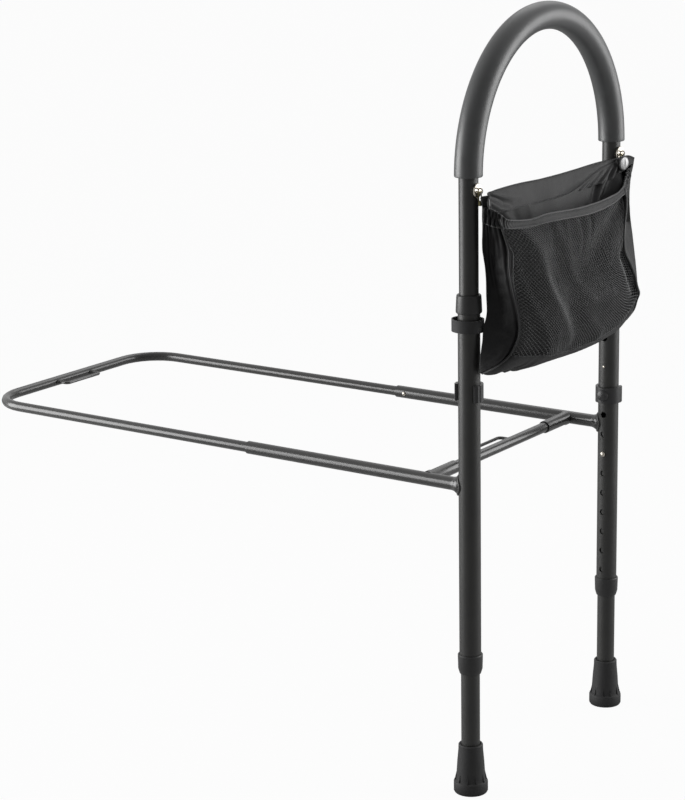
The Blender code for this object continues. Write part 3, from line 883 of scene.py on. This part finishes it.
class SewingLines:
    """The lines that the pouch's panels are sewn along.

    Each gusset is three rails, at its back, its fold and its front, through stations from the top down.
    """

    steps = 10
    net_foot = {Side.LEFT: 9, Side.RIGHT: 11}

    def __init__(self) -> None:
        """Draws every line."""
        left = self.rails(
            ((-167, -20, 700), (-165, -26, 697), (-158, -33, 692)),
            ((-166, -19.5, 680), (-161, -26, 678), (-158, -39, 675)),
            ((-166, -19.5, 653), (-156, -23, 652), (-155, -46, 652)),
            ((-162, -19.5, 637), (-152, -23, 636), (-157, -48, 637)),
            ((-159, -19.5, 619), (-149, -23.5, 620), (-158, -50.5, 620)),
            ((-158, -19.5, 600), (-146, -26, 599), (-155, -53.5, 600)),
            ((-157, -19.5, 578), (-146, -31, 578), (-149, -55, 580)),
            ((-164, -19.5, 562), (-150, -37, 560), (-143, -53, 559)),
            ((-166, -19.5, 548), (-152, -34, 546), (-141, -48, 544)),
            ((-171, -19.8, 531), (-156, -30, 531), (-143, -40, 529)),
            ((-173, -20, 521), (-160, -25.5, 520), (-147, -30, 519)),
            ((-173, -20.2, 515.5), (-165, -22.5, 515), (-156, -25, 514.5)),
            ((-173, -20.5, 512), (-172.5, -21, 511.5), (-172, -21.5, 511.5)),
        )
        right = self.rails(
            ((177, -23, 704), (165, -27, 700), (140, -31, 688)),
            ((168, -25, 688), (150, -21, 680), (128, -38, 674)),
            ((157, -29, 672), (146, -20, 668), (124, -42, 667)),
            ((153, -31, 659), (144, -20, 657), (111, -49, 658)),
            ((156, -31, 641), (146, -21, 640), (98, -54, 642)),
            ((166, -28, 622), (138, -31, 620), (92, -56.5, 624)),
            ((175, -26, 602), (140, -35, 603), (98, -55, 609)),
            ((181, -25, 585), (155, -35, 587), (120, -50, 592)),
            ((185, -25, 568), (168, -33, 569), (144, -44, 572)),
            ((186, -26, 552), (179, -30, 553), (164, -37, 554)),
            ((185, -26, 543), (182, -29, 543), (177, -33, 542)),
            ((181, -25, 533), (180, -27, 532), (177, -30, 533)),
            ((176, -24, 521), (177, -25, 520.5), (175.5, -26.5, 520.5)),
            ((161, -24, 512), (161, -24.5, 511.5), (160, -25, 511.5)),
        )
        self.gussets = {Side.LEFT: left, Side.RIGHT: right}
        self.mouth = curve_through(
            (-166, -21, 698), (-160, -30, 694), (-154, -37, 688), (-145, -40.5, 682), (-105, -43.5, 677),
            (-71, -46, 678.5), (-20, -48, 676), (9, -48, 675), (53, -46, 675), (84, -43, 676),
            (108, -40, 677.5), (127, -36, 681.5), (141, -31, 688), (152, -27.5, 695), (159, -25, 700),
        )
        self.hem_foot = curve_through(
            (-166, -20.5, 681), (-163, -30, 677.5), (-158, -39.5, 675.5), (-149, -42, 673.5),
            (-108, -45.5, 670), (-67, -48, 669.5), (-22, -49.5, 667.5), (18, -49.5, 665.5),
            (63, -47, 666), (98, -43, 669), (116, -39.5, 671.5), (129, -38, 674), (142, -33.5, 680),
            (152, -29, 686), (163, -26.5, 690),
        )
        self.net_bottom = curve_through(
            self.net_side(Side.LEFT)[-1], (-136, -45, 527), (-99, -49, 521), (-61, -48, 514.5),
            (-20, -45, 510), (14, -42, 507.5), (60, -38, 506.5), (117, -32, 509), (150, -29, 515),
            self.net_side(Side.RIGHT)[-1],
        )
        self.bottom = curve_through(
            left[2][-1], (-161, -22, 507.5), (-146, -23, 505.5), (-134, -24, 506), (-127, -24.5, 503.6),
            (-119, -25, 504.4), (-109, -26, 501.8), (-90, -28, 501), (-74, -29, 501.8), (-53, -30, 502),
            (-13, -31, 501), (59, -31, 500.5), (107, -29, 503), (142, -26, 507.5), right[2][-1],
            steps=6,
        )
        self.rim = curve_through(
            (-168, -18, 708.5), (-155, -18, 710), (-148, -17, 711), (-123, -16, 711.5), (-79, -14, 711),
            (-21, -13, 709), (44, -12, 709), (108, -12, 710.5), (149, -16, 710.5), (167, -20, 711.5),
            (176.5, -23.5, 708),
        )
        self.header_seam = curve_through(
            (-167, -20.6, 689), (-120, -21.3, 686.5), (-93, -20.5, 686), (-56, -19.5, 684.5),
            (-12, -18, 684), (33, -17, 684.5), (81, -17.5, 686), (120, -19.5, 688.5), (135, -21, 692),
            (150, -23, 695), (171, -24.6, 693),
        )

    def rails(self, *stations: tuple[Point, Point, Point]) -> list[list[Vector]]:
        """The three rails of a gusset through its stations."""
        return [curve_through(*rail, steps=self.steps) for rail in zip(*stations)]

    def net_side(self, side: Side) -> list[Vector]:
        """The net's edge along one seam."""
        return self.gussets[side][2][self.steps : self.net_foot[side] * self.steps + 1]

    def band_side(self, side: Side) -> list[Vector]:
        """The bottom band's edge along one seam."""
        return self.gussets[side][2][self.net_foot[side] * self.steps :]


@dataclass
class Pouch:
    """The sewn pouch: back panel, header, net front, bottom band, gussets, hem, piping and stitches.

    Fields that end in cut are flat sizes in metres. Heights of folds, gathers and ripples are in millimetres.
    """

    nylon: float = 0.0009
    hem_cloth: float = 0.0014
    thread: float = 0.00108
    stitch_pitch: float = 0.0026
    cord_radius: float = 0.0013
    roll_radius: float = 0.001
    cord_lift: float = 0.0008
    header_lift: Point = (0, -0.0012, 0.0004)
    band_stitch_lift: Point = (0, -0.0004, -0.0012)
    # Below this height the back panel's inner face takes the painted shade finish.
    lining_top: float = 664
    net_cells: tuple[int, int] = (56, 33)
    net_end: float = 0.129
    back_cut: Pair = (0.345, 0.205)
    header_cut: Pair = (0.345, 0.024)
    net_cut: Pair = (0.27, 0.155)
    band_cut: Pair = (0.33, 0.035)
    band_share: float = 0.65
    gusset_cut: Pair = (0.045, 0.2)
    gusset_gather: float = 1.9
    gusset_crease: float = 1.5
    gusset_tuck: float = 2.6
    hem_cut: Pair = (0.37, 0.01)
    hem_ripple: float = 1.5
    hem_ripple_reach: float = 0.075
    lines: SewingLines = field(default_factory=SewingLines)
    back_panel: Object | None = None

    def build(self) -> None:
        """Makes every piece of the pouch and hides the CAD solid that it stands for."""
        self.back_panel = self.back()
        header = self.header()
        net = self.net()
        band = self.band()
        for side in Side:
            self.gusset(side)
            self.piping(side)
        hem = self.hem()
        shares = [i / 200 for i in range(201)]
        rows = {
            "header": [header.surface(share, 0.93) for share in shares[6:196]],
            "hem_low": [self.hem_surface(share, 0.84) for share in shares[14:188]],
            "hem_top": [self.hem_surface(share, 0.14) for share in shares[14:188]],
            "band": [point + Vector(self.band_stitch_lift) for point in self.lines.net_bottom[2:-2]],
        }
        for name, line in rows.items():
            row = stitch_row(f"pouch_{name}_stitches", line, self.stitch_pitch)
            rows[name] = self.keep(row, STITCH, 80)
        area = self.band_share * math.prod(self.band_cut)
        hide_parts("pouch")

    def keep(self, obj: Object, finish: Finish, angle: float = 60) -> Object:
        """Finishes a piece of the pouch and hangs it on the handle.

        Args:
            obj: The piece.
            finish: Its finish.
            angle: Edges sharper than this, in degrees, stay sharp.

        Returns:
            The piece.
        """
        return finished(shade(obj, angle), finish, Body.HANDLE.value)

    def back(self) -> Object:
        """The back panel, hung between the posts and slack in the middle.

        Returns:
            The piece.
        """
        lines = self.lines
        left = [lines.rim[0], *lines.gussets[Side.LEFT][0]]
        right = [lines.rim[-1], *lines.gussets[Side.RIGHT][0]]
        folds = [
            Fold(((0.025, 0.0), (0.03, 0.12)), 5, 5),
            Fold(((0.84, 0.08), (0.79, 0.2), (0.74, 0.34)), 4.5, 6, 0.6),
            Fold(((0.81, 0.08), (0.76, 0.2)), -4, 5, 0.6),
            Fold(((0.912, 0.14), (0.875, 0.34)), 10, 12, 0.7),
            Fold(((0.12, 0.1), (0.17, 0.17), (0.3, 0.3)), 3, 5, 0.6),
            Fold(((0.2, 0.11), (0.24, 0.22)), -2, 5),
            Fold(((0.3, 0.12), (0.34, 0.3)), 1.6, 6),
            Fold(((0.35, 0.5), (0.6, 0.55)), 11, 60, 1),
        ]
        panel = Panel(lines.rim, lines.bottom, left, right, self.back_cut, 0, folds, 0.5)
        obj = sheet_grid("pouch_back", 120, 80, panel.surface, self.back_cut)
        self.keep(thicken(obj, self.nylon), NYLON)
        # Painted shade: the back panel's inner face below this height gets the near-black finish, standing in
        # for the shade inside the pouch; above it stays nylon.
        obj.data.materials.append(PAINTED_INSIDE_SHADE.material)
        for face in obj.data.polygons:
            inside = face.normal.y < 0 and face.center.z < above_floor(self.lining_top)
            face.material_index = 1 if inside else 0
        return obj

    def header(self) -> Panel:
        """The doubled band along the top, pulled into folds by the two studs, and its rolled edge.

        Returns:
            The header's shape.
        """
        lines = self.lines
        top = [point + Vector(self.header_lift) for point in lines.rim]
        left = [top[0].lerp(lines.header_seam[0], i / 4) for i in range(5)]
        right = [top[-1].lerp(lines.header_seam[-1], i / 4) for i in range(5)]
        folds = [
            Fold(((0.022, -0.1), (0.026, 1.0)), 6, 5, 0.7),
            Fold(((0.05, 0.45), (0.10, 0.8), (0.17, 1.0)), 2.2, 3.5, 0.5),
            Fold(((0.06, 0.2), (0.12, 0.55), (0.18, 0.75)), -2.0, 3.5, 0.5),
            Fold(((0.07, 0.1), (0.14, 0.3), (0.24, 0.5)), 1.4, 4, 0.4),
        ]
        for i in range(9):
            foot = 0.60 + 0.037 * i
            line = ((0.915, 0.12), (0.5 * (foot + 0.915) + 0.01, 0.5), (foot, 1.1))
            folds.append(Fold(line, 2.4 if i % 2 else -2.4, 2.9, 0.75))
        folds.append(Fold(((0.9, -0.1), (0.62, 0.55), (0.45, 1.0)), 1.2, 5, 0.4))
        panel = Panel(top, lines.header_seam, left, right, self.header_cut, 0.8, folds, 0.4)
        obj = sheet_grid("pouch_header", 260, 20, panel.surface, self.header_cut)
        self.keep(thicken(obj, self.nylon), NYLON)
        roll = [panel.surface(i / 160, 0) + Vector((0, 0.0005, 0)) for i in range(161)]
        edge = self.keep(swept("pouch_top_edge", roll, self.cord_radius, 10), NYLON)
        return panel

    def front_folds(self) -> list[Fold]:
        """The folds that the front hangs in, most of them running down and to the right.

        Returns:
            The folds.
        """
        return [
            Fold(((0.13, 0.2), (0.17, 0.95)), 10, 32, 1),
            Fold(((1.0, 0.0), (0.73, 0.19), (0.45, 0.47), (0.40, 0.62)), -5, 20, 0.8),
            Fold(((0.0, 0.2), (0.05, 0.57), (0.14, 0.95)), 3.5, 7, 0.9),
            Fold(((0.08, 0.03), (0.22, 0.55), (0.32, 0.88)), 3.4, 13, 0.9),
            Fold(((0.33, 0.05), (0.44, 0.36), (0.54, 0.57)), 2.4, 12, 0.9),
            Fold(((0.43, 0.65), (0.62, 0.95)), 3, 11, 0.9),
            Fold(((0.48, 0.63), (0.76, 0.64)), 3, 9, 0.7),
            Fold(((0.31, 0.0), (0.29, 0.16)), -1.8, 4),
            Fold(((0.54, 0.02), (0.54, 0.24)), -2, 4),
            Fold(((0.63, 0.0), (0.61, 0.16)), -1.8, 4),
            Fold(((0.42, 0.0), (0.41, 0.14)), 1.4, 4),
            Fold(((0.97, 0.42), (0.96, 0.7), (0.975, 0.86)), -5, 7, 0.9),
        ]

    def net(self) -> Object:
        """The net front: threads round diamond holes.

        Returns:
            The piece.
        """
        lines = self.lines
        left, right = map(lines.net_side, Side)
        mouth = [point for point in lines.hem_foot if left[0].x < point.x < self.net_end]
        top = [left[0], *mouth, right[0]]
        panel = Panel(top, lines.net_bottom, left, right, self.net_cut, 4, self.front_folds(), 0.12)
        obj = sheet_grid("pouch_net", *self.net_cells, panel.surface, self.net_cut)
        corners = len(obj.data.vertices)
        with editing(obj):
            bpy.ops.mesh.poke()
            bpy.ops.mesh.select_mode(type="EDGE")
            bpy.ops.mesh.select_all(action="DESELECT")
        for edge in obj.data.edges:
            edge.select = all(index < corners for index in edge.vertices)
        with editing(obj, everything=False):
            bpy.ops.mesh.dissolve_edges(use_verts=False)
        modified(obj, "WIREFRAME", thickness=self.thread, use_even_offset=False, use_boundary=True)
        return self.keep(obj, NET, 150)

    def band(self) -> Object:
        """The solid band under the net.

        Returns:
            The piece.
        """
        lines = self.lines
        left, right = map(lines.band_side, Side)
        folds = [
            Fold(((0.05, 0.1), (0.3, 0.9)), 1.8, 8),
            Fold(((0.12, 0.5), (0.16, 1.0)), -1.2, 4),
            Fold(((0.19, 0.4), (0.21, 1.0)), 1.3, 4),
            Fold(((0.4, 0.0), (0.55, 1.0)), -1.2, 8),
        ]
        panel = Panel(lines.net_bottom, lines.bottom, left, right, self.band_cut, 3, folds, 0.8)
        obj = sheet_grid("pouch_bottom_band", 130, 16, panel.surface, self.band_cut)
        return self.keep(thicken(obj, self.nylon), NYLON)

    def gusset(self, side: Side) -> None:
        """A strip at one end, folded inwards, gathered at its top and tucked in beside the seam.

        Args:
            side: Which end.
        """
        rails = self.lines.gussets[side]
        count = len(rails[0]) - 1
        inward = Vector((-side.value, 0.35, 0)).normalized()

        def surface(across: float, down: float) -> Vector:
            """A place on the strip.

            Args:
                across: The share from back to front.
                down: The share down.

            Returns:
                The place.
            """
            spot = down * count
            i = min(int(spot), count - 1)
            back, fold, front = (rail[i].lerp(rail[i + 1], spot - i) for rail in rails)
            soft = back * (1 - across) ** 2 + 2 * across * (1 - across) * fold + front * across**2
            sharp = back.lerp(fold, across * 2) if across < 0.5 else fold.lerp(front, across * 2 - 1)
            place = sharp * 0.75 + soft * 0.25
            held = math.sin(math.pi * across) ** 0.5
            wander = 3 * noise.noise(Vector((across * 3, down * 9, 2)))
            gather = self.gusset_gather * math.exp(-down * 7) * math.sin(across * 30 + wander)
            spread = Vector((across * 3.5 + down * 4, down * 26, 7))
            creases = self.gusset_crease * noise.noise(spread) * min(1.0, across * 1.6)
            beside_seam = math.exp(-(((across - 0.93) / 0.045) ** 2))
            tuck = self.gusset_tuck * beside_seam * min(1.0, down * 12)
            out = (gather + creases + 0.7 * crumple_at(place)) * held
            return place - inward * (out * MM) + inward * (tuck * MM)

        obj = sheet_grid(f"pouch_{side.label}_gusset", 44, 150, surface, self.gusset_cut)
        self.keep(thicken(obj, self.nylon), NYLON)

    def hem_surface(self, across: float, down: float) -> Vector:
        """A place on the binding round the mouth, which is gathered towards its two ends.

        Args:
            across: The share across.
            down: The share down.

        Returns:
            The place.
        """
        lines = self.lines
        place = along(lines.mouth, across).lerp(along(lines.hem_foot, across), down)
        near_end = math.exp(-((min(across, 1 - across) / self.hem_ripple_reach) ** 2))
        ahead = along(lines.mouth, across + 0.01) - along(lines.mouth, across - 0.01)
        outwards = Vector((ahead.y, -ahead.x, 0)).normalized()
        wander = 5 * noise.noise(Vector((across * 30, down * 1.5, 5)))
        ripple = near_end * self.hem_ripple * math.sin(across * 440 + wander)
        puff = 0.35 * crumple_at(place) - 0.7 * math.sin(math.pi * down) + 0.4
        return place + outwards * (ripple * MM) - Vector((0, puff * MM, 0))

    def hem(self) -> Object:
        """The binding round the pouch's mouth, with its two rolled edges.

        Returns:
            The binding.
        """
        obj = sheet_grid("pouch_hem", 460, 10, self.hem_surface, self.hem_cut)
        self.keep(thicken(obj, self.hem_cloth), NYLON)
        for name, down in (("top", 0.0), ("foot", 1.0)):
            roll = [self.hem_surface(i / 300, down) for i in range(301)]
            # The rolled edges take the lightened cord finish: painted highlight along both edges of the
            # binding.
            self.keep(swept(f"pouch_hem_{name}_roll", roll, self.roll_radius, 8), PAINTED_HIGHLIGHT_CORD)
        return obj

    def piping(self, side: Side) -> None:
        """Cord covered in cloth along the seam between the front and one gusset.

        Args:
            side: Which end.
        """
        seam = self.lines.gussets[side][2][self.lines.steps // 2 :]
        line = [point - Vector((0, self.cord_lift, 0)) for point in seam]
        # The piping takes the lightened cord finish: painted highlight along the seam.
        self.keep(swept(f"pouch_{side.label}_piping", line, self.cord_radius, 10), PAINTED_HIGHLIGHT_CORD)


STITCH_SHARE = 0.36
STITCH_WIDTH = 0.00035
STITCH_HEIGHT = 0.0003
STITCH_LIFT = 0.0007


def stitch_row(name: str, line: Sequence[Vector], pitch: float) -> Object:
    """A row of short stitches, each a small lens lying on the cloth.

    Args:
        name: The piece's name.
        line: The line on the cloth's outer face.
        pitch: The distance from one stitch to the next.

    Returns:
        The piece.
    """
    stitch = primitive("uv_sphere", "stitch", segments=6, ring_count=4, radius=1)
    stretch = Matrix.Diagonal((pitch * STITCH_SHARE, STITCH_WIDTH, STITCH_HEIGHT, 1))
    count = int(sum((b - a).length for a, b in zip(line, line[1:])) / pitch)
    row = bmesh.new()
    for i in range(count):
        centre = along(line, (i + 0.5) / count)
        ahead = (along(line, (i + 0.6) / count) - along(line, (i + 0.4) / count)).normalized()
        turn = ahead.to_track_quat("X", "Z").to_matrix().to_4x4()
        lift = Matrix.Translation(centre - Vector((0, STITCH_LIFT, 0)))
        row.from_mesh(stitch.data)
        added = list(row.verts)[-len(stitch.data.vertices) :]
        bmesh.ops.transform(row, matrix=lift @ turn @ stretch, verts=added)
    mesh = bpy.data.meshes.new(name)
    row.to_mesh(mesh)
    row.free()
    bpy.data.objects.remove(stitch)
    return add_object(name, mesh)


@dataclass
class PouchFittings:
    """The eyes, links and press studs that carry the pouch, and its straps."""

    stud_radius: float = 0.0072
    stud_plate: float = 0.0009
    stud_edge: float = 0.0003
    dome: float = 0.0011
    groove: float = 0.0007
    ring_gap: float = 0.0007
    ring_drop: float = 0.0014
    ring_wire: float = 0.0011

    def build(self) -> None:
        """Makes every fitting."""
        for side in Side:
            dressed_nodes(
                side,
                ("pouch_eye", NICKEL, "pouch_hardware"),
                ("pouch_link", BRASS, "pouch_hardware"),
                ("pouch_strap", WEBBING, "strap_webbing"),
            )
        self.stud(Side.LEFT, at(-157, -23, 701.5), Vector((0.52, -0.854, 0)))
        self.stud(Side.RIGHT, at(149, -26, 706), Vector((-0.24, -0.97, 0)))

    def stud(self, side: Side, centre: Vector, facing: Vector) -> None:
        """A domed press stud with a groove down its cap, and a dark cord ring just round and behind the cap's
        edge.

        Args:
            side: Which end of the pouch.
            centre: The cap's middle.
            facing: The direction that the cap faces.
        """
        turn = facing.normalized().to_track_quat("Z", "Y").to_matrix()
        reach, grip = self.stud_radius, self.stud_radius + self.ring_gap

        def cap(across: float, down: float) -> Vector:
            """A place on the cap, from a square spread into a disc.

            Args:
                across: The square's share across.
                down: The square's share down.

            Returns:
                The place.
            """
            x, y = 2 * across - 1, 1 - 2 * down
            round_x = x * math.sqrt(max(0.0, 1 - y * y / 2))
            round_y = y * math.sqrt(max(0.0, 1 - x * x / 2))
            away = round_x * round_x + round_y * round_y
            height = self.dome * (1 - away) - self.groove * math.exp(-((round_x / 0.09) ** 2)) * (1 - away)
            return centre + turn @ Vector((round_x * reach, round_y * reach, height))

        obj = outward(sheet_grid(f"{side.label}_stud_cap", 32, 32, cap, (2 * reach, 2 * reach)))
        soften(thicken(obj, self.stud_plate, -1), 50, self.stud_edge, 2)
        finished(shade(obj, 50), CAP, Body.HANDLE.value, f"{side.label}_pouch_stud")
        ring = [
            centre + turn @ Vector((math.cos(angle) * grip, math.sin(angle) * grip, -self.ring_drop))
            for angle in around(48)
        ]
        wire = swept(f"{side.label}_stud_ring", ring, self.ring_wire, 10, closed=True)
        finished(wire, PAINTED_HIGHLIGHT_CORD, Body.HANDLE.value)


# Floor, light and camera


@dataclass(frozen=True)
class SoftBox:
    """A soft light that stands on one side of the rail and is turned to it."""

    name: str
    azimuth: float
    height: float
    size: Pair
    power: float
    distance: float = 2.0

    def build(self, target: Vector) -> None:
        """Puts the light up.

        Args:
            target: The place that it faces.
        """
        light = bpy.data.lights.new(self.name, "AREA")
        light.shape = "RECTANGLE"
        light.size, light.size_y = self.size
        light.energy = self.power
        lamp = add_object(self.name, light)
        turn = math.radians(self.azimuth)
        lamp.location = target + Vector((math.cos(turn), math.sin(turn), 0)) * self.distance
        lamp.location.z = self.height
        lamp.rotation_euler = (target - lamp.location).to_track_quat("-Z", "Y").to_euler()
        lamp.visible_camera = False


@dataclass
class Studio:
    """The pale floor, the soft lights and the camera."""

    camera_at: Point = (-2.254871, -1.687238, 0.743525)
    camera_turn: Point = (75.6336, 1.0298, -54.8327)
    lens: float = 101.4
    floor_size: float = 120.0
    floor_gap: float = 0.0004
    floor_colour: float = 0.4
    floor_glow: float = 0.96
    floor_gloss: float = 0.07
    world_gloss: float = 0.25
    white: float = 0.97
    front: Point = (-0.79, -0.59, 0.12)
    dim: float = 0.10
    bright: float = 0.62
    target: Point = (0, -0.25, 0.15)
    boxes: tuple[SoftBox, ...] = (
        SoftBox("left_soft_box", 125, 0.3, (1.4, 1.3), 37),
        SoftBox("right_soft_box", 311, 0.45, (1.7, 1.3), 25),
        SoftBox("top_soft_box", 20, 2.1, (1.6, 1.6), 10),
    )

    def build(self) -> None:
        """Sets everything up."""
        self.floor()
        self.world()
        for box in self.boxes:
            box.build(Vector(self.target))
        self.camera()
        bpy.context.scene.view_settings.view_transform = "Standard"

    def whiten(self, tree: NodeTree, lit: NodeSocket, white: NodeSocket, direct: float, gloss: float) -> None:
        """Ends a tree in a mix of its lit look and plain white, by the kind of ray that sees it.

        Args:
            tree: The tree.
            lit: The look in the light.
            white: The plain white.
            direct: White's share for camera and transmission rays.
            gloss: White's share for glossy rays.
        """
        rays = add_node(tree, "LightPath", {}).outputs
        camera = maths(tree, "MULTIPLY", rays["Is Camera Ray"], direct)
        through = maths(tree, "MULTIPLY", rays["Is Transmission Ray"], direct)
        glossy = maths(tree, "MULTIPLY", rays["Is Glossy Ray"], gloss)
        share = maths(tree, "MAXIMUM", maths(tree, "MAXIMUM", camera, through), glossy)
        mix = add_node(tree, "MixShader", {"Fac": share, 1: lit, 2: white})
        feed(tree, tree.get_output_node("ALL"), {"Surface": mix.outputs[0]})

    def floor(self) -> None:
        """A pale floor that the camera sees nearly white and that still takes a shadow."""
        floor = primitive("plane", "floor", size=self.floor_size, location=(0, 0, FLOOR_Z - self.floor_gap))
        material = bpy.data.materials.new("pale_floor")
        material.use_nodes = True
        tree = material.node_tree
        shader = tree.nodes["Principled BSDF"]
        feed(tree, shader, {"Base Color": (*[self.floor_colour] * 3, 1), "Roughness": 0.8})
        glow = add_node(tree, "Emission", {})
        self.whiten(tree, shader.outputs[0], glow.outputs[0], self.floor_glow, self.floor_gloss)
        floor.data.materials.append(material)

    def world(self) -> None:
        """Soft light from all round, dim from the front and bright from the sides and behind."""
        world = bpy.data.worlds.new("studio")
        bpy.context.scene.world = world
        world.use_nodes = True
        tree = world.node_tree
        direction = add_node(tree, "TexCoord", {}).outputs["Generated"]
        facing = add_node(tree, "VectorMath", {0: direction, 1: self.front}, operation="DOT_PRODUCT")
        limits = {"From Min": -0.1, "From Max": 0.7, "To Min": self.bright, "To Max": self.dim}
        limits["Value"] = facing.outputs["Value"]
        strength = add_node(tree, "MapRange", limits, interpolation_type="SMOOTHSTEP").outputs["Result"]
        soft = tree.nodes["Background"]
        feed(tree, soft, {"Color": (1, 1, 1, 1), "Strength": strength})
        white = add_node(tree, "Background", {"Color": (*[self.white] * 3, 1)})
        self.whiten(tree, soft.outputs[0], white.outputs[0], 1.0, self.world_gloss)

    def camera(self) -> None:
        """The camera, a little above the pouch and turned to the rail's left front."""
        camera = bpy.data.cameras.new("camera")
        camera.lens = self.lens
        camera.sensor_width = 36
        camera.clip_end = 200
        obj = add_object("camera", camera)
        obj.location = self.camera_at
        obj.rotation_euler = tuple(math.radians(angle) for angle in self.camera_turn)
        bpy.context.scene.camera = obj


def main() -> None:
    """Builds the studio and every sub-assembly in order."""
    logging.basicConfig(level=logging.INFO, format="%(message)s")
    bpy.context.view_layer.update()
    Studio().build()
    sides = [SideFrame(side) for side in Side]
    for assembly in (*sides, BaseFrame(), Legs(), Handle(), Pouch(), PouchFittings()):
        assembly.build()
    bpy.context.view_layer.update()


if __name__ == "__main__":
    main()
